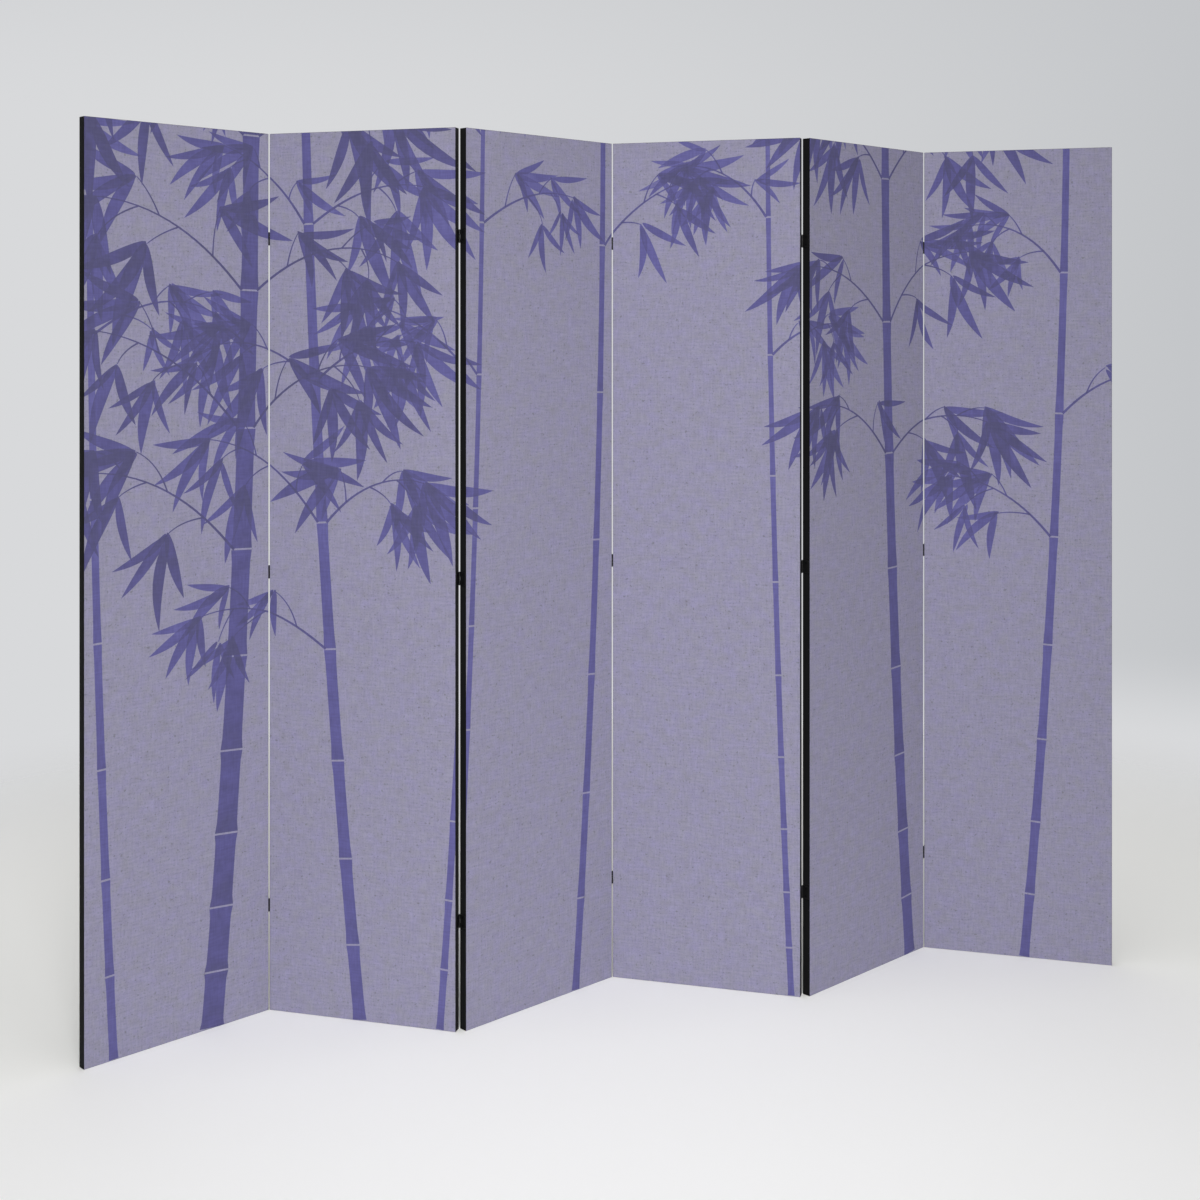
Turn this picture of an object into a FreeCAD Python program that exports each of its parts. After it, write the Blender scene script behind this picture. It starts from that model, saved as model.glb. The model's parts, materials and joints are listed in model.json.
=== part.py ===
# A folding screen of equal panels. Each panel is a pine frame with printed canvas stretched
# over the front, plain cloth over the back and tape round the edge. Neighbouring panels are
# joined by three butt hinges, with their barrels at the front and at the back by turns, so that
# the row folds up like a concertina.
# Millimetres. X runs along the row of panels, Y to the back and Z up. The origin lies on the
# floor, at the middle of the whole screen's box.
import FreeCAD
import Part
import os
from FreeCAD import Placement, Rotation, Vector

# The panels
panel_count = 6
panel_width = 400.0
panel_height = 1770.0
panel_thickness = 18.0
rest_fold = 60.0  # degrees between neighbours, where 0 is one flat wall

# Cloth and tape. They end above the floor, so that the screen stands on its wood.
cloth_thickness = 0.6
tape_thickness = 0.4
cloth_floor_gap = 1.0

# The wooden frame
stile_width = 38.0
rail_width = 38.0
cross_rail_count = 2
tenon_thickness = 6.0
tenon_length = 22.0
tenon_shoulder = 6.0
tenon_clearance = 0.05
mortise_extra_depth = 1.0

# The hinges, three at each junction
hinge_gap = 2.8
hinge_height = 26.0
hinge_end_distance = 212.0  # from the panel's top or foot to the hinge's middle
leaf_thickness = 1.2
leaf_end_margin = 2.0  # from the plate's end to the panel's far face
barrel_clearance = 0.2  # between a barrel and the sides of the gap that it fills
knuckle_clearance = 0.2
plate_relief = 0.7  # between the barrel and the plates
pin_diameter = 1.4
pin_clearance = 0.05
pin_offset = 0.3  # from the panel's face out to the pin's axis
pin_head_diameter = 2.0
pin_head_thickness = 0.5

# The hinge screws, two in each leaf
screw_diameter = 2.2
screw_length = 12.0
screw_point_length = 2.5
screw_point_diameter = 0.4
screw_head_diameter = 4.4
screw_head_depth = 1.1
screw_clearance = 0.05
screw_end_distance = 5.5  # from the leaf's end to the screw's axis

half_turn = 180.0
overrun = 1.0

# What follows from the sizes above
core_height = panel_height - tape_thickness
right_stile_start = panel_width - tape_thickness - stile_width
rail_length = right_stile_start - tape_thickness - stile_width
rail_step = (core_height - rail_width) / (cross_rail_count + 1)
rail_bottoms = [rail_step * i for i in range(cross_rail_count + 2)]
hinge_middles = [hinge_end_distance, panel_height / 2, panel_height - hinge_end_distance]
barrel_radius = hinge_gap / 2 - barrel_clearance
bore_radius = pin_diameter / 2 + pin_clearance
front_pin = Vector(hinge_gap / 2, -pin_offset, 0)
back_pin = Vector(hinge_gap / 2, panel_thickness + pin_offset, 0)
plate_start = barrel_radius - pin_offset + plate_relief
plate_end = panel_thickness - leaf_end_margin
knuckle_height = (hinge_height - 2 * knuckle_clearance) / 3
middle_knuckle_bottom = knuckle_height + knuckle_clearance
outer_knuckle_bottoms = [0, 2 * middle_knuckle_bottom]
screw_heights = [screw_end_distance, hinge_height - screw_end_distance]


def box(start, end):
    """A block between two opposite corners."""
    size = end - start
    return Part.makeBox(size.x, size.y, size.z, start)


def one_solid(shapes):
    """The shapes fused into one clean solid."""
    return shapes[0].multiFuse(shapes[1:]).removeSplitter().Solids[0]


def moved(shape, place):
    """A copy of the shape, put at a place."""
    copy = shape.copy()
    copy.Placement = place.multiply(copy.Placement)
    return copy


def shift(x, y, z):
    return Placement(Vector(x, y, z), Rotation())


# Each panel is drawn with its left front edge at x 0, y 0. X runs to its right edge.


def tenon(start_x, end_x, bottom, clearance):
    """A rail's tongue from start_x to end_x, or with a clearance the slot that takes it."""
    middle = panel_thickness / 2
    half = tenon_thickness / 2 + clearance
    low = Vector(start_x, middle - half, bottom + tenon_shoulder - clearance)
    high = Vector(end_x, middle + half, bottom + rail_width - tenon_shoulder + clearance)
    return box(low, high)


def rails():
    """The top, bottom and cross rails, each with a tenon at both ends."""
    start = tape_thickness + stile_width
    end = start + rail_length
    back = panel_thickness - cloth_thickness
    out = []
    for bottom in rail_bottoms:
        bar = box(Vector(start, cloth_thickness, bottom), Vector(end, back, bottom + rail_width))
        tongue = tenon(start - tenon_length, end + tenon_length, bottom, 0)
        out.append(one_solid([bar, tongue]))
    return out


def stile(start, mortise_start, mortise_end, screw_holes):
    """An upright from x start, with a mortise for each rail and the pilot holes of its side."""
    low = Vector(start, cloth_thickness, 0)
    high = Vector(start + stile_width, panel_thickness - cloth_thickness, core_height)
    mortises = [tenon(mortise_start, mortise_end, z, tenon_clearance) for z in rail_bottoms]
    return box(low, high).cut(mortises + screw_holes).Solids[0]


def left_stile(screw_holes):
    inner = tape_thickness + stile_width
    depth = tenon_length + mortise_extra_depth
    return stile(tape_thickness, inner - depth, inner, screw_holes)


def right_stile(screw_holes):
    depth = tenon_length + mortise_extra_depth
    return stile(right_stile_start, right_stile_start, right_stile_start + depth, screw_holes)


def cloth(front):
    """A stretched sheet whose outer face has its front at y."""
    low = Vector(tape_thickness, front, cloth_floor_gap)
    high = Vector(panel_width - tape_thickness, front + cloth_thickness, core_height)
    return box(low, high)


def edge_tape(screw_holes):
    """Tape up one side, over the top and down the other side, as wide as the panel is thick."""
    outside = box(
        Vector(0, 0, cloth_floor_gap), Vector(panel_width, panel_thickness, panel_height)
    )
    inside = box(
        Vector(tape_thickness, -overrun, -overrun),
        Vector(panel_width - tape_thickness, panel_thickness + overrun, core_height),
    )
    return outside.cut([inside] + screw_holes).Solids[0]


# Each hinge is drawn in its gap: x 0 is the side of the panel on its left, x hinge_gap the
# side of the panel on its right, y 0 the front of both and z 0 the hinge's foot.


def leaf(knuckle_bottoms):
    """A plate on the panel's side, with knuckles round the pin at the heights given."""
    pieces = [box(Vector(0, plate_start, 0), Vector(leaf_thickness, plate_end, hinge_height))]
    for bottom in knuckle_bottoms:
        tab_top = Vector(leaf_thickness, plate_start, bottom + knuckle_height)
        foot = front_pin + Vector(0, 0, bottom)
        pieces.append(box(Vector(0, front_pin.y, bottom), tab_top))
        pieces.append(Part.makeCylinder(barrel_radius, knuckle_height, foot))
    bore_foot = front_pin - Vector(0, 0, overrun)
    bore = Part.makeCylinder(bore_radius, hinge_height + 2 * overrun, bore_foot)
    holes = [screw_at(z, screw_clearance) for z in screw_heights]
    return one_solid(pieces).cut([bore] + holes).Solids[0]


def hinge_pin():
    """A pin through the three knuckles, with a formed head at both ends."""
    reach = knuckle_clearance / 2
    start = front_pin - Vector(0, 0, reach + pin_head_thickness)
    length = hinge_height + 2 * (reach + pin_head_thickness)
    shaft = Part.makeCylinder(pin_diameter / 2, length, start)
    upper = front_pin + Vector(0, 0, hinge_height + reach)
    heads = [Part.makeCylinder(pin_head_diameter / 2, pin_head_thickness, z) for z in (start, upper)]
    return one_solid([shaft] + heads)


def screw_at(height, clearance):
    """A leaf's countersunk screw, or with a clearance the hole that takes it."""
    into = Vector(-1, 0, 0)
    start = Vector(leaf_thickness, panel_thickness / 2, height)
    shank_radius = screw_diameter / 2 + clearance
    head_radius = screw_head_diameter / 2 + clearance
    point_radius = screw_point_diameter / 2 + clearance
    shank_length = screw_length - screw_head_depth - screw_point_length
    shank_start = start + into * screw_head_depth
    point_start = shank_start + into * shank_length
    head = Part.makeCone(head_radius, shank_radius, screw_head_depth, start, into)
    shank = Part.makeCylinder(shank_radius, shank_length, shank_start, into)
    point_length = screw_point_length + clearance
    point = Part.makeCone(shank_radius, point_radius, point_length, point_start, into)
    return one_solid([head, shank, point])


# Turned round about an upright line, the hinge has its barrel at the back of the gap.
turned_round = Placement(
    Vector(0, 0, 0),
    Rotation(Vector(0, 0, 1), half_turn),
    Vector(hinge_gap / 2, panel_thickness / 2, 0),
)
# Turned upside down about a level line, a leaf lies on the gap's other side.
upside_down = Placement(
    Vector(0, 0, 0),
    Rotation(Vector(0, 1, 0), half_turn),
    Vector(hinge_gap / 2, 0, hinge_height / 2),
)


def is_odd(number):
    return number % 2 == 1


def hinge_places(panel, junction):
    """The places of the three hinges of a junction in the frame of the panel beside it.

    Odd panels carry the outer leaves and the pins, even ones the inner leaves. Even junctions
    have their barrels at the back.
    """
    x = panel_width if junction == panel else -hinge_gap
    barrel_turn = Placement() if is_odd(junction) else turned_round
    leaf_turn = Placement() if is_odd(panel) else upside_down
    turn = barrel_turn.multiply(leaf_turn)
    return [shift(x, 0, z - hinge_height / 2).multiply(turn) for z in hinge_middles]


def at_hinges(shape, panel, junction):
    return [moved(shape, place) for place in hinge_places(panel, junction)]


def screws_at_hinges(clearance, panel, junction):
    both = Part.Compound([screw_at(z, clearance) for z in screw_heights])
    return [solid for pair in at_hinges(both, panel, junction) for solid in pair.Solids]


def panel_nodes(number):
    """The solids of one panel, by name. The row's two end panels have hinges on one side."""
    own_leaf = leaf(outer_knuckle_bottoms if is_odd(number) else [middle_knuckle_bottom])
    leaves = []
    screws = []
    holes = {number - 1: [], number: []}
    for junction in holes:
        if 0 < junction < panel_count:
            leaves += at_hinges(own_leaf, number, junction)
            screws += screws_at_hinges(0, number, junction)
            holes[junction] = screws_at_hinges(screw_clearance, number, junction)
    left_holes = holes[number - 1]
    right_holes = holes[number]
    name = f"panel_{number}_"
    return {
        name + "left_stile": [left_stile(left_holes)],
        name + "right_stile": [right_stile(right_holes)],
        name + "rails": rails(),
        name + "front_canvas": [cloth(0)],
        name + "back_cloth": [cloth(panel_thickness - cloth_thickness)],
        name + "edge_tape": [edge_tape(left_holes + right_holes)],
        name + "hinge_leaves": leaves,
        name + "hinge_screws": screws,
    }


def panel_places():
    """Where each panel stands at rest. The row turns to the front and to the back by turns."""
    places = [Placement(Vector(0, 0, 0), Rotation(Vector(0, 0, 1), rest_fold / 2))]
    for junction in range(1, panel_count):
        barrel_in_front = is_odd(junction)
        angle = -rest_fold / 2 if barrel_in_front else rest_fold / 2
        turn = Rotation(Vector(0, 0, 1), angle)
        pin = front_pin if barrel_in_front else back_pin
        shared = places[-1].multVec(pin + Vector(panel_width, 0, 0))
        start = shared - turn.multVec(pin - Vector(hinge_gap, 0, 0))
        places.append(Placement(start, turn))
    return places


def all_nodes():
    """Every node's solids in the screen's frame, and each junction's foot hinge."""
    places = panel_places()
    nodes = {}
    for number, place in enumerate(places, 1):
        for name, solids in panel_nodes(number).items():
            nodes[name] = [moved(solid, place) for solid in solids]
    hinges = []
    for junction in range(1, panel_count):
        panel = junction if is_odd(junction) else junction + 1
        place = places[panel - 1]
        pins = at_hinges(hinge_pin(), panel, junction)
        nodes[f"hinge_{junction}{junction + 1}_pins"] = [moved(pin, place) for pin in pins]
        hinges.append(place.multiply(hinge_places(panel, junction)[0]))
    size = Part.Compound([solid for solids in nodes.values() for solid in solids]).BoundBox
    centring = shift(-size.Center.x, -size.Center.y, 0)
    for name, solids in nodes.items():
        nodes[name] = [moved(solid, centring) for solid in solids]
    return nodes, [centring.multiply(hinge) for hinge in hinges]


nodes, hinges = all_nodes()
os.makedirs("parts", exist_ok=True)
for name, solids in nodes.items():
    shape = solids[0] if len(solids) == 1 else Part.Compound(solids)
    shape.exportStep(f"parts/{name}.step")
for number, hinge in enumerate(hinges, 1):
    axis = hinge.multVec(front_pin)
    print(f"hinge {number}{number + 1} pin: x {axis.x:.6f}, y {axis.y:.6f}")
whole = Part.Compound([solid for solids in nodes.values() for solid in solids]).BoundBox
print(f"whole screen: {whole.XLength:.3f} x {whole.YLength:.3f} x {whole.ZLength:.3f}")
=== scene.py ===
import json
import math
import random

import bmesh
import bpy
from mathutils import Matrix, Vector
from mathutils.geometry import delaunay_2d_cdt


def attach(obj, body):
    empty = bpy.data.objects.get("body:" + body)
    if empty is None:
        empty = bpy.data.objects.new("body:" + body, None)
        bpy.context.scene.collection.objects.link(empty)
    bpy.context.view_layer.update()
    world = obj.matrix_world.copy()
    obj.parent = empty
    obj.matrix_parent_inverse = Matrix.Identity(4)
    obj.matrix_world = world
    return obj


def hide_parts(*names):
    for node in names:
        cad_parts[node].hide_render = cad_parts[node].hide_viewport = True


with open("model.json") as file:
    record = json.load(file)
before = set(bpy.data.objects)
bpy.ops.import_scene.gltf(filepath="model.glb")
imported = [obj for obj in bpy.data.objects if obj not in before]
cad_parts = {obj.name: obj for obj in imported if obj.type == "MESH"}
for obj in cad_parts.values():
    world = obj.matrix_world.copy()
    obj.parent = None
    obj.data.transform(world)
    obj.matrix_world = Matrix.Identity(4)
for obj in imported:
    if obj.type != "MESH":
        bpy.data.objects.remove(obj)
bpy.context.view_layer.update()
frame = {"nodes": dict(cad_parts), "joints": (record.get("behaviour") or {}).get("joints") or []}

MM = 0.001
SAME_POINT = 0.003  # corners of a mesh closer than this are one
SMOOTH_ANGLE = 30  # degrees, past which an edge stays sharp

# The panels
PANEL_COUNT = 6
PANEL_WIDTH = 400
PANEL_HEIGHT = 1770
PANEL_THICKNESS = 18
REST_FOLD = 60  # degrees between neighbours
STILE_WIDTH = 38
RAIL_WIDTH = 38
CROSS_RAILS = 2
CLOTH_THICKNESS = 0.6
CLOTH_FLOOR_GAP = 0.3
BACK_HOLLOW = 1.0
BACK_FULLNESS = 0.6  # below 1, the hollow is steeper by the frame and flatter in its middle
TAPE_THICKNESS = 0.4
TAPE_CORNER = 0.9
TAPE_RIM = 0.14
CANVAS_SIZE = (PANEL_WIDTH - 2 * TAPE_THICKNESS, PANEL_HEIGHT - TAPE_THICKNESS - CLOTH_FLOOR_GAP)

# The hinges, with a leaf's plate from the pin's side to its far edge
HINGE_GAP = 2.8
HINGE_HEIGHT = 26
HINGE_MIDDLES = (212, PANEL_HEIGHT / 2, PANEL_HEIGHT - 212)
LEAF_THICKNESS = 1.2
LEAF_CORNER = 2.0
PLATE_START = 1.6
PLATE_END = 16
KNUCKLE_HEIGHT = (HINGE_HEIGHT - 0.4) / 3
MIDDLE_KNUCKLE = KNUCKLE_HEIGHT + 0.2
TOP_KNUCKLE = 2 * MIDDLE_KNUCKLE
BARREL_RADIUS = 1.2
BARREL_SIDES = 32
BORE_RADIUS = 0.75
PIN_AXIS = Vector((HINGE_GAP / 2, -0.3, 0))
PIN_RADIUS = 0.7
PIN_SIDES = 28
PIN_HEAD_RADIUS = 1.0
PIN_HEAD_THICKNESS = 0.5
PIN_REACH = 0.1

# The screws, and the room that a leaf's countersinks leave round them
SCREW_HEIGHTS = (5.5, HINGE_HEIGHT - 5.5)
SCREW_LENGTH = 12
SCREW_RADIUS = 1.1
SCREW_SIDES = 20
SCREW_HEAD_RADIUS = 2.2
SCREW_HEAD_DEPTH = 1.1
SCREW_TIP = 2.6
THREAD_PITCH = 0.9
THREAD_ROOT = 0.8
SLOT_SIZE = (2.5, 0.55, 1.0)
SLOT_MIDDLE = 0.25
SHANK_ROOM = 0.05
HEAD_ROOM = 0.35
CUT_OVERRUN = 0.3

numbers = range(1, PANEL_COUNT + 1)


# Materials


def linear(code):
    """An sRGB hex colour as linear red, green, blue and alpha."""
    channels = [int(code[i : i + 2], 16) / 255 for i in (1, 3, 5)]
    return [c / 12.92 if c <= 0.04045 else ((c + 0.055) / 1.055) ** 2.4 for c in channels] + [1]


def node(tree, kind, settings=None, inputs=None):
    """Adds a node. An input is a value, or the output of another node that is linked to it."""
    made = tree.nodes.new("ShaderNode" + kind)
    for name, value in (settings or {}).items():
        setattr(made, name, value)
    for name, value in (inputs or {}).items():
        if isinstance(value, bpy.types.NodeSocket):
            tree.links.new(value, made.inputs[name])
        else:
            made.inputs[name].default_value = value
    return made


def started(name, **sockets):
    """A new material with its Principled shader's sockets set, its tree and its shader."""
    made = bpy.data.materials.new(name)
    made.use_nodes = True
    shader = made.node_tree.nodes["Principled BSDF"]
    for socket, value in sockets.items():
        shader.inputs[socket.replace("_", " ")].default_value = value
    return made, made.node_tree, shader


def threads(tree, place, pitch):
    """Heights of crossing threads at a pitch in metres, from a place in metres."""
    wave_scale = math.pi / 10 / pitch
    waves = [
        node(
            tree,
            "TexWave",
            {"bands_direction": direction},
            {"Vector": place, "Scale": wave_scale, "Distortion": 0.6, "Detail": 1.0},
        )
        for direction in ("X", "Y")
    ]
    heights = [wave.outputs[1] for wave in waves]
    return node(tree, "Math", {"operation": "ADD"}, {0: heights[0], 1: heights[1]})


def slubs(tree, place, width, length):
    """Thicker threads both ways, as streaks of a width and length in metres, round 1."""
    streaks = []
    for across, along in ((1 / width, 1 / length), (1 / length, 1 / width)):
        stretched = node(tree, "Mapping", {}, {"Vector": place, "Scale": (across, along, 1)})
        noise = node(
            tree, "TexNoise", {}, {"Vector": stretched.outputs[0], "Scale": 1.0, "Detail": 2.0}
        )
        streaks.append(noise.outputs["Fac"])
    return node(tree, "Math", {"operation": "ADD"}, {0: streaks[0], 1: streaks[1]})


# Tones of the violet pigment, from the amount that begins to the amount that ends each step
PIGMENT_STEPS = (
    (0.0, 0.40, "#67649A"),
    (0.40, 0.60, "#5F5C91"),
    (0.60, 0.80, "#595684"),
    (0.80, 1.00, "#545275"),
)


def printed_canvas_material():
    """Cotton canvas printed in matt pigment: no gloss, a soft lilac ground that is mottled and
    streaked by the thicker threads, and violet shapes that let the threads show through."""
    made, tree, shader = started(
        "printed_cotton_canvas", Roughness=0.92, Specular_IOR_Level=0.18, Sheen_Weight=0.04
    )
    cloth = node(tree, "UVMap", {"uv_map": "cloth"}).outputs[0]
    # Cloudy patches 20 to 30 mm wide, where the dye took more or less of its violet
    cloud = node(
        tree, "TexNoise", {}, {"Vector": cloth, "Scale": 40.0, "Detail": 4.0, "Roughness": 0.6}
    )
    patch = node(
        tree, "MapRange", {}, {"Value": cloud.outputs["Fac"], "From Min": 0.3, "From Max": 0.7}
    )
    colour = node(
        tree,
        "Mix",
        {"data_type": "RGBA"},
        {0: patch.outputs[0], 6: linear("#918F9F"), 7: linear("#938FAE")},
    )
    # Flecks of seed husk: many of 3 mm that hardly show, and a few of 6 mm that do
    for scale, faint, plain, most in ((300.0, 0.56, 0.72, 0.45), (140.0, 0.67, 0.72, 0.6)):
        fleck = node(tree, "TexNoise", {}, {"Vector": cloth, "Scale": scale, "Detail": 1.0})
        spot = node(
            tree,
            "MapRange",
            {},
            {"Value": fleck.outputs["Fac"], "From Min": faint, "From Max": plain, "To Max": most},
        )
        colour = node(
            tree,
            "Mix",
            {"data_type": "RGBA"},
            {0: spot.outputs[0], 6: colour.outputs[2], 7: linear("#71727A")},
        )
    # The print's amount of pigment, and where on its leaf or stem each point lies
    print_layer = node(tree, "Attribute", {"attribute_name": "print"})
    parts = node(tree, "SeparateColor", {}, {0: print_layer.outputs["Color"]})
    amount, along, across = parts.outputs
    # More pigment where the wash pooled, in blots about 40 mm wide, and along the rims, the
    # middle vein and the foot of a leaf
    wash = node(tree, "TexNoise", {}, {"Vector": cloth, "Scale": 24.0, "Detail": 4.0})
    pigment = amount
    for value, low, high, least, most in (
        (wash.outputs["Fac"], 0.3, 0.7, -0.11, 0.11),
        (across, 0.72, 1.0, 0.0, 0.09),
        (across, 0.0, 0.16, 0.12, 0.0),
        (along, 0.0, 1.0, 0.05, -0.05),
    ):
        change = node(
            tree,
            "MapRange",
            {},
            {"Value": value, "From Min": low, "From Max": high, "To Min": least, "To Max": most},
        )
        pigment = node(
            tree, "Math", {"operation": "ADD"}, {0: pigment, 1: change.outputs[0]}
        ).outputs[0]
    printed = node(tree, "Math", {"operation": "GREATER_THAN"}, {0: amount, 1: 0.05})
    pigment = node(
        tree, "Math", {"operation": "MULTIPLY"}, {0: pigment, 1: printed.outputs[0]}
    ).outputs[0]
    for low, high, code in PIGMENT_STEPS:
        step = node(tree, "MapRange", {}, {"Value": pigment, "From Min": low, "From Max": high})
        colour = node(
            tree,
            "Mix",
            {"data_type": "RGBA"},
            {0: step.outputs[0], 6: colour.outputs[2], 7: linear(code)},
        )
    # Streaks 4 mm by 30 mm lighten and darken ground and print alike
    streak = slubs(tree, cloth, 0.004, 0.030)
    level = node(
        tree,
        "MapRange",
        {},
        {
            "Value": streak.outputs[0],
            "From Min": 0.7,
            "From Max": 1.3,
            "To Min": 0.90,
            "To Max": 1.10,
        },
    )
    lit = node(
        tree,
        "VectorMath",
        {"operation": "SCALE"},
        {0: colour.outputs[2], "Scale": level.outputs[0]},
    )
    tree.links.new(lit.outputs[0], shader.inputs["Base Color"])
    # Threads are about 0.5 mm apart, drawn at 1.2 mm so that they show in close views
    weave = threads(tree, cloth, 0.0012)
    bump = node(
        tree, "Bump", {}, {"Height": weave.outputs[0], "Strength": 0.35, "Distance": 0.00025}
    )
    tree.links.new(bump.outputs[0], shader.inputs["Normal"])
    return made


def black_cloth_material(name, pitch, light, dark, bump_depth):
    """Dyed cotton: matt black, with a faint lighter weave at a pitch in metres, drawn coarser
    than thread so that it shows in close views, and hardly any fibre sheen."""
    made, tree, shader = started(
        name, Roughness=0.95, Specular_IOR_Level=0.1, Sheen_Weight=0.02, Sheen_Roughness=0.5
    )
    cloth = node(tree, "UVMap", {"uv_map": "cloth"}).outputs[0]
    weave = threads(tree, cloth, pitch)
    # Thicker threads 3 mm wide and 60 mm long
    streak = slubs(tree, cloth, 0.003, 0.060)
    both = node(tree, "Math", {"operation": "ADD"}, {0: weave.outputs[0], 1: streak.outputs[0]})
    level = node(tree, "MapRange", {}, {"Value": both.outputs[0], "From Min": 1.0, "From Max": 3.0})
    tone = node(
        tree,
        "Mix",
        {"data_type": "RGBA"},
        {0: level.outputs[0], 6: linear(dark), 7: linear(light)},
    )
    tree.links.new(tone.outputs[2], shader.inputs["Base Color"])
    bump = node(
        tree, "Bump", {}, {"Height": both.outputs[0], "Strength": 0.5, "Distance": bump_depth}
    )
    tree.links.new(bump.outputs[0], shader.inputs["Normal"])
    return made


def pine_material(name, axis, turn):
    """Planed pine: pale yellow wood, growth rings 3 mm apart and fine fibre along the piece."""
    made, tree, shader = started(name, Roughness=0.62, Specular_IOR_Level=0.35)
    place = node(tree, "TexCoord").outputs["Object"]
    straight = node(tree, "Mapping", {}, {"Vector": place, "Rotation": (0, 0, turn)})
    # The grain is drawn out to about 17 times its width along the piece
    squeeze = [1.0, 1.0, 1.0]
    squeeze["XYZ".index(axis)] = 0.06
    long_grain = node(tree, "Mapping", {}, {"Vector": straight.outputs[0], "Scale": squeeze})
    rings = node(
        tree,
        "TexWave",
        {"wave_type": "RINGS", "rings_direction": axis, "wave_profile": "SAW"},
        {
            "Vector": long_grain.outputs[0],
            "Scale": math.pi / 10 / 0.003,
            "Distortion": 6.0,
            "Detail": 3.0,
            "Detail Scale": 0.4,
        },
    )
    wood = node(
        tree,
        "Mix",
        {"data_type": "RGBA"},
        {0: rings.outputs[1], 6: linear("#DDBE8C"), 7: linear("#B98C56")},
    )
    fibre = node(
        tree, "TexNoise", {}, {"Vector": long_grain.outputs[0], "Scale": 900.0, "Detail": 3.0}
    )
    grey = node(
        tree,
        "Mix",
        {"data_type": "RGBA", "blend_type": "MULTIPLY"},
        {0: 0.35, 6: wood.outputs[2], 7: fibre.outputs["Color"]},
    )
    tree.links.new(grey.outputs[2], shader.inputs["Base Color"])
    bump = node(
        tree, "Bump", {}, {"Height": fibre.outputs["Fac"], "Strength": 0.4, "Distance": 0.0002}
    )
    tree.links.new(bump.outputs[0], shader.inputs["Normal"])
    return made


def black_metal_material(name, colour, metallic, roughness, grain):
    """Steel under black paint or black oxide, with a fine grain in its gloss."""
    made, tree, shader = started(
        name, Metallic=metallic, Specular_IOR_Level=0.4, Base_Color=linear(colour)
    )
    place = node(tree, "TexCoord").outputs["Object"]
    # Grain of the finish about 0.4 mm across
    noise = node(tree, "TexNoise", {}, {"Vector": place, "Scale": 2500.0, "Detail": 2.0})
    gloss = node(
        tree,
        "MapRange",
        {},
        {"Value": noise.outputs["Fac"], "To Min": roughness - grain, "To Max": roughness + grain},
    )
    tree.links.new(gloss.outputs[0], shader.inputs["Roughness"])
    bump = node(
        tree, "Bump", {}, {"Height": noise.outputs["Fac"], "Strength": 0.2, "Distance": 0.0001}
    )
    tree.links.new(bump.outputs[0], shader.inputs["Normal"])
    return made


canvas_finish = printed_canvas_material()
back_finish = black_cloth_material("dyed_black_cotton", 0.0011, "#343438", "#1E1E21", 0.0003)
tape_finish = black_cloth_material("woven_black_tape", 0.0008, "#161618", "#0A0A0B", 0.0002)
hinge_finish = black_metal_material("black_painted_steel", "#101011", 0.0, 0.38, 0.08)
screw_finish = black_metal_material("black_oxide_steel", "#2A2A2C", 1.0, 0.42, 0.1)
stile_finish = pine_material("planed_pine_upright", "Z", 0)
rail_finishes = [
    pine_material(f"planed_pine_rail_{side}", "X", math.radians(turn))
    for side, turn in (("odd", -REST_FOLD / 2), ("even", REST_FOLD / 2))
]


# Places


def panel_place(number):
    """From a panel's own millimetres to the screen's metres, set by the pins beside it."""
    on_left = number > 1
    junction = number - 1 if on_left else number
    pins = {j["name"]: Vector(j["pos_m"]) for j in frame["joints"]}
    at_front = junction % 2 == 1
    x = -HINGE_GAP / 2 if on_left else PANEL_WIDTH + HINGE_GAP / 2
    y = PIN_AXIS.y if at_front else PANEL_THICKNESS - PIN_AXIS.y
    turn = math.radians(REST_FOLD / 2 if number % 2 == 1 else -REST_FOLD / 2)
    return (
        Matrix.Translation(pins[f"hinge_{junction}{junction + 1}"])
        @ Matrix.Rotation(turn, 4, "Z")
        @ Matrix.Scale(MM, 4)
        @ Matrix.Translation((-x, -y, 0))
    )


def turned_about(centre, axis):
    """Half a turn about a line through a point."""
    move = Matrix.Translation(centre)
    return move @ Matrix.Rotation(math.pi, 4, axis) @ move.inverted()


TURNED_ROUND = turned_about(Vector((HINGE_GAP / 2, PANEL_THICKNESS / 2, 0)), "Z")
UPSIDE_DOWN = turned_about(Vector((HINGE_GAP / 2, 0, HINGE_HEIGHT / 2)), "Y")


def hinge_places(panel, junction):
    """The three hinges of a junction, in metres. Odd panels carry the outer leaves and the pins,
    and even junctions have their barrels at the back."""
    x = PANEL_WIDTH if junction == panel else -HINGE_GAP
    turn = Matrix() if junction % 2 == 1 else TURNED_ROUND
    if panel % 2 == 0:
        turn = turn @ UPSIDE_DOWN
    place = panel_place(panel)
    return [
        place @ Matrix.Translation((x, 0, middle - HINGE_HEIGHT / 2)) @ turn
        for middle in HINGE_MIDDLES
    ]


def junctions_of(panel):
    """The junctions at a panel's left and right edges."""
    return [j for j in (panel - 1, panel) if 0 < j < PANEL_COUNT]


def finished(name, bm, material, body, replaced):
    """Makes the piece, rides it on its body and hides the part that it stands for."""
    mesh = bpy.data.meshes.new(name)
    bm.to_mesh(mesh)
    bm.free()
    mesh.materials.append(material)
    for polygon in mesh.polygons:
        polygon.use_smooth = True
    mesh.set_sharp_from_angle(angle=math.radians(SMOOTH_ANGLE))
    piece = bpy.data.objects.new(name, mesh)
    bpy.context.scene.collection.objects.link(piece)
    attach(piece, body)
    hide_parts(replaced)
    return piece


# The print: bamboo, drawn in millimetres with s along the row of panels and z up. Outlines run
# anticlockwise, which is how the cutting of the canvas tells their insides. Its other numbers are
# shares of a stem's, a branchlet's or a leaf's size, and angles in radians.

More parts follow.
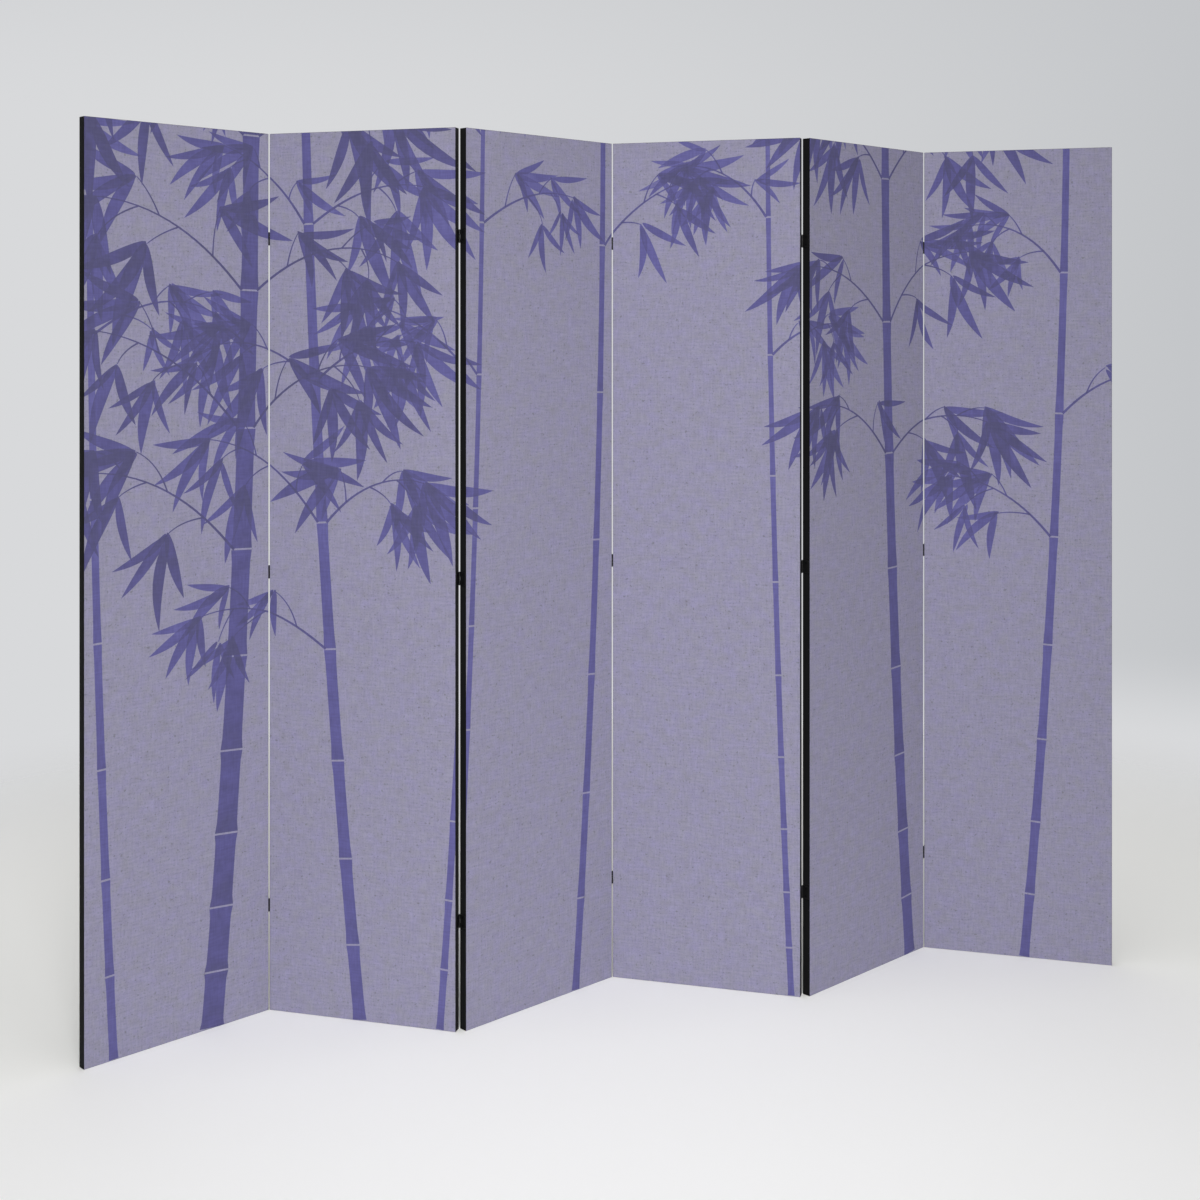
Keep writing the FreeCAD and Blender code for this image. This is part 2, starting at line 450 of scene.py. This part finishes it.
LEAF_STEPS = 14
STEM_STEPS = 8
BRANCHLET_STEPS = 16
SHOOT_STEPS = 10
JOINT_GAP = 3.6
LONGEST_SEGMENT = 310


def turned(angle, ahead, left=0.0):
    """A step ahead and to the left of a direction."""
    return (
        ahead * math.cos(angle) - left * math.sin(angle),
        ahead * math.sin(angle) + left * math.cos(angle),
    )


def leaf(base, angle, length, width, bend, amount):
    """A pointed leaf: its outline, its pigment, and a rule for where on it a point lies."""

    def middle(u):
        return bend * 4 * u * (1 - u) * length

    def half(u):
        return width * u**0.62 * (1 - u) ** 0.95 / 1.026

    steps = [0.5 - 0.5 * math.cos(math.pi * i / LEAF_STEPS) for i in range(LEAF_STEPS + 1)]
    rim = [(u, middle(u) - half(u)) for u in steps]
    rim += [(u, middle(u) + half(u)) for u in steps[-2:0:-1]]
    outline = []
    for u, v in rim:
        ds, dz = turned(angle, u * length, v)
        outline.append((base[0] + ds, base[1] + dz))

    def whereabouts(s, z):
        ahead, left = turned(-angle, s - base[0], z - base[1])
        u = min(max(ahead / length, 0.0), 1.0)
        return u, min(abs(left - middle(u)) / max(half(u), 0.1), 1.0)

    return outline, amount, whereabouts


def strip(points, widths, amount):
    """A ribbon along points, with a width at each."""
    sides = [], []
    for i, (s, z) in enumerate(points):
        before, after = points[max(i - 1, 0)], points[min(i + 1, len(points) - 1)]
        angle = math.atan2(after[1] - before[1], after[0] - before[0])
        ds, dz = turned(angle, 0, widths[i] / 2)
        sides[0].append((s + ds, z + dz))
        sides[1].append((s - ds, z - dz))
    start, end = points[0], points[-1]
    run = math.atan2(end[1] - start[1], end[0] - start[0])
    length = math.dist(start, end)

    def whereabouts(s, z):
        ahead, left = turned(-run, s - start[0], z - start[1])
        return min(max(ahead / length, 0.0), 1.0), min(abs(left) * 2 / max(widths), 1.0)

    return sides[1] + sides[0][::-1], amount, whereabouts


def twig(start, angle, length, droop, steps):
    """Points that start off at an angle and have turned by droop radians at the end."""
    points = [start]
    for i in range(steps):
        ds, dz = turned(angle + droop * ((i + 0.5) / steps) ** 1.4, length / steps)
        points.append((points[-1][0] + ds, points[-1][1] + dz))
    return points


def end_angle(points):
    """The direction of a line's last stretch."""
    return math.atan2(points[-1][1] - points[-2][1], points[-1][0] - points[-2][0])


def stem(foot, top, bow, width, first, amount):
    """The segments of a bamboo stem, and its joints, from the floor to above the top edge."""
    total = math.dist(foot, top)
    lean = end_angle((foot, top))

    def middle(distance):
        u = distance / total
        ds, dz = turned(lean, distance, bow * 4 * u * (1 - u))
        return foot[0] + ds, foot[1] + dz

    segments, joints = [], []
    start, length = 0.0, first
    while start < total:
        end = min(start + length, total)
        points, widths = [], []
        for i in range(STEM_STEPS + 1):
            f = i / STEM_STEPS
            distance = start + JOINT_GAP / 2 + f * (end - start - JOINT_GAP)
            points.append(middle(distance))
            flare = 0.93 + 0.13 * abs(2 * f - 1) ** 7
            widths.append(width * (1.04 - 0.3 * distance / total) * flare)
        segments.append(strip(points, widths, amount))
        joints.append(middle(end))
        start = end
        length = min(length * 1.14, LONGEST_SEGMENT)
    return segments, joints


def fan(tip, angle, count, size, amount, rng):
    """Leaves that spread from a twig's end and hang part of the way down."""
    down = (-math.pi / 2 - angle + math.pi) % (2 * math.pi) - math.pi
    middle_angle = angle + down * rng.uniform(0.42, 0.68)
    leaves = []
    for i in range(count):
        off = (i - (count - 1) / 2) / (count - 1)
        turn = middle_angle + off * (0.78 + 0.155 * count) + rng.uniform(-0.09, 0.09)
        length = size * (1 - 0.7 * abs(off) ** 1.5) * rng.uniform(0.85, 1.12)
        width = length * rng.uniform(0.19, 0.255)
        bend = rng.uniform(0.02, 0.07) * (1 if off < 0 else -1)
        start = (tip[0] + rng.uniform(-4, 4), tip[1] + rng.uniform(-4, 4))
        leaves.append(leaf(start, turn, length, width, bend, amount + rng.uniform(-0.09, 0.09)))
    return leaves


def spray(start, angle, length, droop, size, amount, rng):
    """A branchlet with side twigs by turns, and a fan of leaves at each end."""
    points = twig(start, angle, length, droop, BRANCHLET_STEPS)
    motifs = [strip(points, [5.2 - 0.2 * i for i in range(len(points))], amount + 0.1)]
    side = rng.choice((-1, 1))
    for k in (4, 8, 10, 12):
        away = end_angle(points[k : k + 2]) + side * rng.uniform(0.55, 0.95)
        sag = rng.uniform(0.3, 0.8) * (-1 if math.cos(away) >= 0 else 1)
        shoot = twig(points[k], away, length * rng.uniform(0.16, 0.3), sag, SHOOT_STEPS)
        motifs.append(strip(shoot, [3.4 - 0.15 * i for i in range(len(shoot))], amount + 0.1))
        count = rng.choice((3, 3, 4, 4, 5))
        small = size * rng.uniform(0.78, 1.08)
        motifs += fan(shoot[-1], end_angle(shoot), count, small, amount, rng)
        side = -side
    return motifs + fan(points[-1], end_angle(points), rng.choice((4, 5, 5)), size, amount, rng)


STEMS = (
    # foot s, top s, bow, width, first segment, pigment, lowest spray, spray length, leaf length
    (60, 10, 12, 18, 160, 0.52, 1100, 260, 140),
    (270, 360, -22, 50, 110, 0.72, 800, 360, 185),
    (600, 480, 18, 27, 150, 0.58, 620, 300, 160),
    (770, 850, -16, 15, 120, 0.50, 1050, 260, 140),
    (1100, 1180, -20, 20, 190, 0.54, 1300, 270, 150),
    (1590, 1540, 10, 13, 100, 0.48, 1280, 220, 125),
    (1960, 1870, 22, 36, 130, 0.64, 950, 320, 165),
    (2230, 2320, -18, 20, 140, 0.54, 750, 250, 140),
)
STEM_TOP = 1860
THICK_STEM = 25


def bamboo():
    """The whole print: the stems first, then the branchlets and leaves in front of them."""
    rng = random.Random(11)
    stems, sprays = [], []
    for foot, top, bow, width, first, amount, lowest, length, size in STEMS:
        segments, joints = stem((foot, 0), (top, STEM_TOP), bow, width, first, amount)
        stems += segments
        side = rng.choice((-1, 1))
        for joint in (j for j in joints if j[1] >= lowest):
            both_sides = width > THICK_STEM and joint[1] > lowest + 150
            for here in (side, -side) if both_sides else (side,):
                angle = math.pi / 2 - here * rng.uniform(0.55, 1.0)
                start = (joint[0] + here * width * 0.35, joint[1])
                reach = length * rng.uniform(0.75, 1.1)
                droop = -here * rng.uniform(0.7, 1.25)
                leaf_size = size * rng.uniform(0.85, 1.1)
                sprays += spray(start, angle, reach, droop, leaf_size, amount, rng)
            side = -side
    return stems + sprays


# Canvas, cloth and tape


def printed_canvas(number, motifs):
    """The front canvas, stretched flat. Its front is cut into triangles along the outlines of
    the print, so that each shape's edge is sharp from any distance."""
    start = (number - 1) * (PANEL_WIDTH + HINGE_GAP)
    low = Vector((TAPE_THICKNESS, CLOTH_FLOOR_GAP))
    high = low + Vector(CANVAS_SIZE)
    points = [low, (high.x, low.y), high, (low.x, high.y)]
    # Outline 0 is the canvas itself, and the others are the shapes that reach this panel
    outlines = [range(len(points))]
    here = [None]
    for motif in motifs:
        shifted = [(s - start, z) for s, z in motif[0]]
        across, up = zip(*shifted)
        reaches_in = max(across) > low.x and max(up) > low.y
        if reaches_in and min(across) < high.x and min(up) < high.y:
            outlines.append(range(len(points), len(points) + len(shifted)))
            points += shifted
            here.append(motif)
    cut = delaunay_2d_cdt([Vector(p) for p in points], [], outlines, 1, 1e-5)
    corners, triangles, sources = cut[0], cut[2], cut[5]
    bm = bmesh.new()
    bm.loops.layers.float_color.new("print")
    cloth = bm.loops.layers.uv.new("cloth")
    # Fetched only now, because a layer made after another one moves it
    layer = bm.loops.layers.float_color["print"]
    verts = [bm.verts.new((p.x, 0, p.y)) for p in corners]
    for triangle, covering in zip(triangles, sources):
        if 0 not in covering:
            continue
        face = bm.faces.new([verts[i] for i in triangle])
        # Each shape lets less of the bare canvas through, and the topmost sets the pattern
        bare = 1.0
        for i in covering:
            if i:
                bare *= 1 - here[i][1]
        top = max(covering)
        for loop in face.loops:
            x, z = loop.vert.co.x, loop.vert.co.z
            loop[cloth].uv = ((x + start) * MM, z * MM)
            along, across = here[top][2](x + start, z) if top else (0.0, 0.5)
            loop[layer] = (1 - bare, along, across, 1.0)
    loose = [v for v in bm.verts if not v.link_faces]
    bmesh.ops.delete(bm, geom=loose, context="VERTS")
    bmesh.ops.remove_doubles(bm, verts=bm.verts, dist=SAME_POINT)
    rim = [e for e in bm.edges if e.is_boundary]
    sides = bmesh.ops.extrude_edge_only(bm, edges=rim)["geom"]
    back = [v for v in sides if isinstance(v, bmesh.types.BMVert)]
    bmesh.ops.translate(bm, vec=(0, CLOTH_THICKNESS, 0), verts=back)
    bmesh.ops.holes_fill(bm, edges=[e for e in bm.edges if e.is_boundary], sides=0)
    for loop in (loop for v in back for face in v.link_faces for loop in face.loops):
        loop[layer] = (0.0, 0.0, 0.5, 1.0)
    bmesh.ops.recalc_face_normals(bm, faces=bm.faces)
    bmesh.ops.transform(bm, matrix=panel_place(number), verts=bm.verts)
    node_name = f"panel_{number}_front_canvas"
    piece = finished(
        f"canvas_{number}", bm, canvas_finish, f"panel_{number}", node_name
    )
    return piece


def back_cloth(number):
    """The black cloth behind, drawn in a little between the stiles and the rails."""
    width, height = CANVAS_SIZE
    bm = bmesh.new()
    cloth = bm.loops.layers.uv.new("cloth")
    bmesh.ops.create_grid(bm, x_segments=42, y_segments=186, size=0.5, calc_uvs=False)
    rail_step = (PANEL_HEIGHT - TAPE_THICKNESS - RAIL_WIDTH) / (CROSS_RAILS + 1)
    for v in bm.verts:
        x = TAPE_THICKNESS + (v.co.x + 0.5) * width
        z = CLOTH_FLOOR_GAP + (v.co.y + 0.5) * height
        across = (x - TAPE_THICKNESS - STILE_WIDTH) / (width - 2 * STILE_WIDTH)
        up = (z % rail_step - RAIL_WIDTH) / (rail_step - RAIL_WIDTH)
        hollow = 0.0
        if 0 < across < 1 and 0 < up < 1:
            hollow = (math.sin(math.pi * across) * math.sin(math.pi * up)) ** BACK_FULLNESS
        v.co = Vector((x, PANEL_THICKNESS - BACK_HOLLOW * hollow, z))
    for face in bm.faces:
        for loop in face.loops:
            loop[cloth].uv = (loop.vert.co.x * MM, loop.vert.co.z * MM)
    bmesh.ops.recalc_face_normals(bm, faces=bm.faces)
    if sum(f.normal.y for f in bm.faces) < 0:
        bmesh.ops.reverse_faces(bm, faces=bm.faces)
    bmesh.ops.solidify(bm, geom=bm.faces, thickness=CLOTH_THICKNESS)
    bmesh.ops.transform(bm, matrix=panel_place(number), verts=bm.verts)
    node_name = f"panel_{number}_back_cloth"
    piece = finished(
        f"back_cloth_{number}", bm, back_finish, f"panel_{number}", node_name
    )
    return piece


def edge_tape(number):
    """Tape up one side, over the top and down the other, folded close round the corners."""
    width, top, foot, t = PANEL_WIDTH, PANEL_HEIGHT, CLOTH_FLOOR_GAP, TAPE_THICKNESS
    outer = [(0, foot), (0, top), (width, top), (width, foot)]
    inner = [(width - t, foot), (width - t, top - t), (t, top - t), (t, foot)]
    bm = bmesh.new()
    cloth = bm.loops.layers.uv.new("cloth")
    bm.faces.new([bm.verts.new((x, 0, z)) for x, z in outer + inner])
    wall = bmesh.ops.extrude_face_region(bm, geom=bm.faces[:])["geom"]
    far = [v for v in wall if isinstance(v, bmesh.types.BMVert)]
    bmesh.ops.translate(bm, vec=(0, PANEL_THICKNESS, 0), verts=far)
    bmesh.ops.recalc_face_normals(bm, faces=bm.faces)

    def is_outside(v):
        return v.co.x in (0, width) or v.co.z == top

    def runs_back(e):
        return e.verts[0].co.y != e.verts[1].co.y

    corners = [
        e
        for e in bm.edges
        if runs_back(e) and all(v.co.z == top and v.co.x in (0, width) for v in e.verts)
    ]
    bmesh.ops.bevel(
        bm, geom=corners, offset=TAPE_CORNER, segments=4, affect="EDGES", profile=0.5, material=-1
    )
    # The long edges alone, not the short ones that the rounding of the corners has left
    rims = [
        e
        for e in bm.edges
        if not runs_back(e) and all(is_outside(v) for v in e.verts) and e.calc_length() > 5
    ]
    bmesh.ops.bevel(
        bm, geom=rims, offset=TAPE_RIM, segments=2, affect="EDGES", profile=0.5, material=-1
    )
    bmesh.ops.dissolve_degenerate(bm, dist=SAME_POINT, edges=bm.edges)
    for face in bm.faces:
        level = abs(face.normal.z) > 0.7
        for loop in face.loops:
            co = loop.vert.co
            run = PANEL_HEIGHT + co.x if level else co.z
            loop[cloth].uv = (co.y * MM, run * MM)
    bmesh.ops.transform(bm, matrix=panel_place(number), verts=bm.verts)
    node_name = f"panel_{number}_edge_tape"
    piece = finished(f"tape_{number}", bm, tape_finish, f"panel_{number}", node_name)
    return piece


# Hinges


def scratch_object(bm):
    """An object for a Boolean, of a bmesh that ends here."""
    mesh = bpy.data.meshes.new("hinge_blank")
    bmesh.ops.recalc_face_normals(bm, faces=bm.faces)
    bm.to_mesh(mesh)
    bm.free()
    made = bpy.data.objects.new("hinge_blank", mesh)
    bpy.context.scene.collection.objects.link(made)
    return made


def worked(blank, joined, cuts):
    """A blank's mesh with closed shapes joined to it and then others cut out of it, one by one."""
    target = scratch_object(blank)
    tools = []
    for bm in joined + cuts:
        tools.append(scratch_object(bm))
        step = target.modifiers.new("work", "BOOLEAN")
        step.operation = "UNION" if bm in joined else "DIFFERENCE"
        step.solver = "EXACT"
        step.object = tools[-1]
    graph = bpy.context.evaluated_depsgraph_get()
    mesh = bpy.data.meshes.new_from_object(target.evaluated_get(graph))
    for done in [target] + tools:
        bpy.data.objects.remove(done)
    return mesh


def add_rod(bm, foot, radius, height, top_radius=None):
    """A closed upright cylinder or cone in a bmesh, from its foot."""
    bmesh.ops.create_cone(
        bm,
        cap_ends=True,
        segments=BARREL_SIDES,
        radius1=radius,
        radius2=radius if top_radius is None else top_radius,
        depth=height,
        matrix=Matrix.Translation(foot + Vector((0, 0, height / 2))),
    )


def leaf_mesh(knuckle_bottoms):
    """A stamped leaf: a plate with rounded corners, rolled knuckles and two countersinks."""
    near, far, top = PLATE_START, PLATE_END, HINGE_HEIGHT
    outline = [(far, 0), (far, top)]
    if TOP_KNUCKLE not in knuckle_bottoms:
        outline.append((near, top))
    for low in sorted(knuckle_bottoms, reverse=True):
        high = low + KNUCKLE_HEIGHT
        if low != TOP_KNUCKLE:
            outline.append((near, high))
        outline += [(PIN_AXIS.y, high), (PIN_AXIS.y, low)]
        if low != 0:
            outline.append((near, low))
    if 0 not in knuckle_bottoms:
        outline.append((near, 0))
    blank = bmesh.new()
    blank.faces.new([blank.verts.new((0, y, z)) for y, z in outline])
    corners = [v for v in blank.verts if v.co.y == far]
    bmesh.ops.bevel(
        blank,
        geom=corners,
        offset=LEAF_CORNER,
        segments=5,
        affect="VERTICES",
        profile=0.5,
        material=-1,
    )
    wall = bmesh.ops.extrude_face_region(blank, geom=blank.faces[:])["geom"]
    raised = [v for v in wall if isinstance(v, bmesh.types.BMVert)]
    bmesh.ops.translate(blank, vec=(LEAF_THICKNESS, 0, 0), verts=raised)
    barrels, cut = bmesh.new(), bmesh.new()
    for bottom in knuckle_bottoms:
        add_rod(barrels, PIN_AXIS + Vector((0, 0, bottom)), BARREL_RADIUS, KNUCKLE_HEIGHT)
    add_rod(cut, PIN_AXIS - Vector((0, 0, 1)), BORE_RADIUS, HINGE_HEIGHT + 2)
    lay_down = Matrix.Rotation(-math.pi / 2, 4, "Y")
    for height in SCREW_HEIGHTS:
        hole = bmesh.new()
        mouth = Vector((0, 0, -CUT_OVERRUN))
        shank = SCREW_RADIUS + SHANK_ROOM
        sink = SCREW_HEAD_DEPTH + CUT_OVERRUN
        add_rod(hole, mouth, SCREW_HEAD_RADIUS + HEAD_ROOM, sink, top_radius=shank)
        add_rod(hole, mouth, shank, 3)
        place = Matrix.Translation((LEAF_THICKNESS, PANEL_THICKNESS / 2, height)) @ lay_down
        bmesh.ops.transform(hole, matrix=place, verts=hole.verts)
        part = bpy.data.meshes.new("hole")
        hole.to_mesh(part)
        hole.free()
        cut.from_mesh(part)
    return worked(blank, [barrels], [cut])


def turned_profile(profile, sides):
    """A closed solid of revolution about z from (radius, height) points, the ends on the axis."""
    bm = bmesh.new()
    verts = [bm.verts.new((radius, 0, height)) for radius, height in profile]
    edges = [bm.edges.new(pair) for pair in zip(verts, verts[1:])]
    bmesh.ops.spin(
        bm,
        geom=verts + edges,
        axis=(0, 0, 1),
        cent=(0, 0, 0),
        angle=2 * math.pi,
        steps=sides,
        use_merge=True,
    )
    bmesh.ops.remove_doubles(bm, verts=bm.verts, dist=1e-4)
    bmesh.ops.recalc_face_normals(bm, faces=bm.faces)
    return bm


def pin_mesh():
    """A steel pin with a low domed head at both ends."""
    dome = [(0, 0), (0.55, 0.03), (0.85, 0.14), (PIN_HEAD_RADIUS, 0.34)]
    head = dome + [(PIN_HEAD_RADIUS, PIN_HEAD_THICKNESS)]
    foot = -PIN_REACH - PIN_HEAD_THICKNESS
    profile = [(r, foot + z) for r, z in head] + [(PIN_RADIUS, -PIN_REACH)]
    profile += [(r, HINGE_HEIGHT - z) for r, z in profile[::-1]]
    bm = turned_profile(profile, PIN_SIDES)
    bmesh.ops.translate(bm, vec=PIN_AXIS, verts=bm.verts)
    mesh = bpy.data.meshes.new("pin")
    bm.to_mesh(mesh)
    bm.free()
    return mesh


def screw_mesh():
    """A countersunk screw with a cross recess and a threaded shank."""
    rim = [(SCREW_HEAD_RADIUS - 0.08, 0), (SCREW_HEAD_RADIUS, 0.06)]
    profile = [(0, 0)] + rim + [(SCREW_RADIUS, SCREW_HEAD_DEPTH)]
    depth = SCREW_HEAD_DEPTH + 0.8
    while depth < SCREW_LENGTH - SCREW_TIP:
        profile += [(THREAD_ROOT, depth), (SCREW_RADIUS, depth + THREAD_PITCH / 2)]
        depth += THREAD_PITCH
    profile += [(THREAD_ROOT, depth), (0.2, SCREW_LENGTH - 0.1), (0, SCREW_LENGTH)]
    blank = turned_profile(profile, SCREW_SIDES)
    # Two slots make the cross. Each is cut by itself, and narrows to half below the face.
    slots = []
    for turn in (0, math.pi / 2):
        slots.append(bmesh.new())
        place = (
            Matrix.Translation((0, 0, SLOT_MIDDLE))
            @ Matrix.Rotation(turn, 4, "Z")
            @ Matrix.Diagonal((*SLOT_SIZE, 1.0))
        )
        made = bmesh.ops.create_cube(slots[-1], size=1.0, matrix=place)["verts"]
        for v in made:
            if v.co.z > SLOT_MIDDLE:
                v.co.x *= 0.5
                v.co.y *= 0.5
    return worked(blank, [], slots)


def all_placed(mesh, places):
    """One bmesh with a copy of a mesh at each place."""
    bm = bmesh.new()
    for place in places:
        known = set(bm.verts)
        bm.from_mesh(mesh)
        bmesh.ops.transform(bm, matrix=place, verts=[v for v in bm.verts if v not in known])
    return bm


def hinges():
    """The leaves and screws of each panel, and the pins of each junction."""
    outer, inner = leaf_mesh((0, TOP_KNUCKLE)), leaf_mesh((MIDDLE_KNUCKLE,))
    pin, screw = pin_mesh(), screw_mesh()
    for panel in numbers:
        places = [p for j in junctions_of(panel) for p in hinge_places(panel, j)]
        own_leaf = outer if panel % 2 == 1 else inner
        finished(
            f"leaves_{panel}",
            all_placed(own_leaf, places),
            hinge_finish,
            f"panel_{panel}",
            f"panel_{panel}_hinge_leaves",
        )
        # A screw is drawn with its head down, lies with its head in the leaf's face and has come
        # to rest at a turn of its own
        heads = [
            place
            @ Matrix.Translation((LEAF_THICKNESS, PANEL_THICKNESS / 2, height))
            @ Matrix.Rotation(-math.pi / 2, 4, "Y")
            @ Matrix.Rotation(0.4 + 1.3 * index, 4, "Z")
            for index, (place, height) in enumerate((p, h) for p in places for h in SCREW_HEIGHTS)
        ]
        finished(
            f"screws_{panel}",
            all_placed(screw, heads),
            screw_finish,
            f"panel_{panel}",
            f"panel_{panel}_hinge_screws",
        )
    for junction in range(1, PANEL_COUNT):
        panel = junction if junction % 2 == 1 else junction + 1
        finished(
            f"pins_{junction}{junction + 1}",
            all_placed(pin, hinge_places(panel, junction)),
            hinge_finish,
            f"panel_{panel}",
            f"hinge_{junction}{junction + 1}_pins",
        )


# All the pieces

motifs = bamboo()
for number in numbers:
    printed_canvas(number, motifs)
    back_cloth(number)
    edge_tape(number)
    for part in ("left_stile", "right_stile"):
        frame["nodes"][f"panel_{number}_{part}"].material_slots[0].material = stile_finish
    rails = frame["nodes"][f"panel_{number}_rails"]
    rails.material_slots[0].material = rail_finishes[(number + 1) % 2]
hinges()


# Floor, backdrop, light and camera


def floor_material():
    """A pale matt studio floor. From 1.5 to 3 m out it gives way to the backdrop."""
    made, tree, shader = started(
        "studio_floor", Base_Color=linear("#F8F8F6"), Roughness=0.9, Specular_IOR_Level=0.1
    )
    place = node(tree, "TexCoord").outputs["Object"]
    distance = node(tree, "VectorMath", {"operation": "LENGTH"}, {0: place})
    away = node(
        tree,
        "MapRange",
        {"interpolation_type": "SMOOTHSTEP"},
        {"Value": distance.outputs["Value"], "From Min": 1.5, "From Max": 3.0},
    )
    clear = node(tree, "BsdfTransparent")
    fade = node(
        tree, "MixShader", {}, {0: away.outputs[0], 1: shader.outputs[0], 2: clear.outputs[0]}
    )
    tree.links.new(fade.outputs[0], tree.nodes["Material Output"].inputs["Surface"])
    return made


def backdrop(tree):
    """The backdrop's colour by direction, with painted shade of the studio light: darker to the
    right, though not at its foot, and darker high up."""
    way = node(tree, "SeparateXYZ", {}, {0: node(tree, "TexCoord").outputs["Generated"]})
    to_right = node(
        tree, "MapRange", {}, {"Value": way.outputs["X"], "From Min": 0.0, "From Max": 0.55}
    )
    right = node(tree, "Math", {"operation": "POWER"}, {0: to_right.outputs[0], 1: 2.0})
    foot = node(
        tree,
        "MapRange",
        {"interpolation_type": "SMOOTHSTEP"},
        {"Value": way.outputs["Z"], "From Min": -0.225, "From Max": -0.17},
    )
    right = node(tree, "Math", {"operation": "MULTIPLY"}, {0: right.outputs[0], 1: foot.outputs[0]})
    up = node(
        tree,
        "MapRange",
        {"interpolation_type": "SMOOTHSTEP"},
        {"Value": way.outputs["Z"], "From Min": 0.12, "From Max": 0.30, "To Max": 0.6},
    )
    # Painted shade: the backdrop darkens to the right and high up, where the studio light falls off
    colour = linear("#D8D9DB")
    for amount, code in ((right, "#C4C6C9"), (up, "#C0C2C5")):
        colour = node(
            tree,
            "Mix",
            {"data_type": "RGBA"},
            {0: amount.outputs[0], 6: colour, 7: linear(code)},
        ).outputs[2]
    return colour


# Just under the floor's height, so that the feet of the frames don't lie in its plane
ground = bmesh.new()
bmesh.ops.create_grid(ground, x_segments=2, y_segments=2, size=20)
bmesh.ops.translate(ground, vec=(0, 0, -0.0002), verts=ground.verts)
mesh = bpy.data.meshes.new("floor")
ground.to_mesh(mesh)
ground.free()
mesh.materials.append(floor_material())
floor = bpy.data.objects.new("floor", mesh)
bpy.context.scene.collection.objects.link(floor)

# The backdrop is what the camera and reflections see. The object is lit by an even soft white.
world = bpy.data.worlds.new("studio")
world.use_nodes = True
bpy.context.scene.world = world
tree = world.node_tree
tree.nodes.clear()
rays = node(tree, "LightPath").outputs
seen = rays["Is Camera Ray"]
for kind in ("Is Glossy Ray", "Is Transmission Ray"):
    seen = node(tree, "Math", {"operation": "MAXIMUM"}, {0: seen, 1: rays[kind]}).outputs[0]
backdrop_light = node(tree, "Background", {}, {"Color": backdrop(tree), "Strength": 1.0})
soft_light = node(tree, "Background", {}, {"Color": (1.0, 0.995, 0.985, 1), "Strength": 0.11})
mixed = node(
    tree, "MixShader", {}, {0: seen, 1: soft_light.outputs[0], 2: backdrop_light.outputs[0]}
)
node(tree, "OutputWorld", {}, {0: mixed.outputs[0]})

# A softbox in front, with a grid that keeps it off the near floor, a wide one high overhead and
# one over the floor behind
for name, size, power, spread, place, target in (
    ("front_softbox", 2.0, 43.5, 70, (-1.0, -5.2, 3.23), (-0.27, 0.0, 0.88)),
    ("top_softbox", 5.0, 208, 180, (-0.3, -2.0, 7.5), (-0.3, -2.0, 0.0)),
    ("rear_softbox", 4.0, 29, 100, (0.4, 2.0, 5.0), (0.4, 2.0, 0.0)),
):
    lamp = bpy.data.lights.new(name, "AREA")
    lamp.shape = "SQUARE"
    lamp.size = size
    lamp.energy = power
    lamp.spread = math.radians(spread)
    softbox = bpy.data.objects.new(name, lamp)
    softbox.location = place
    softbox.rotation_euler = (Vector(target) - Vector(place)).to_track_quat("-Z", "Y").to_euler()
    softbox.visible_camera = False
    bpy.context.scene.collection.objects.link(softbox)

# A level camera whose picture is shifted down, which keeps the panels' edges upright
lens = bpy.data.cameras.new("camera")
lens.sensor_width = 36
lens.lens = 50.508
lens.shift_y = -0.22011
camera = bpy.data.objects.new("camera", lens)
camera.location = (-0.8948, -3.3701, 1.3619)
camera.rotation_euler = (math.radians(90), 0, math.radians(-14.07))
bpy.context.scene.collection.objects.link(camera)
bpy.context.scene.camera = camera
bpy.context.scene.view_settings.view_transform = "Standard"
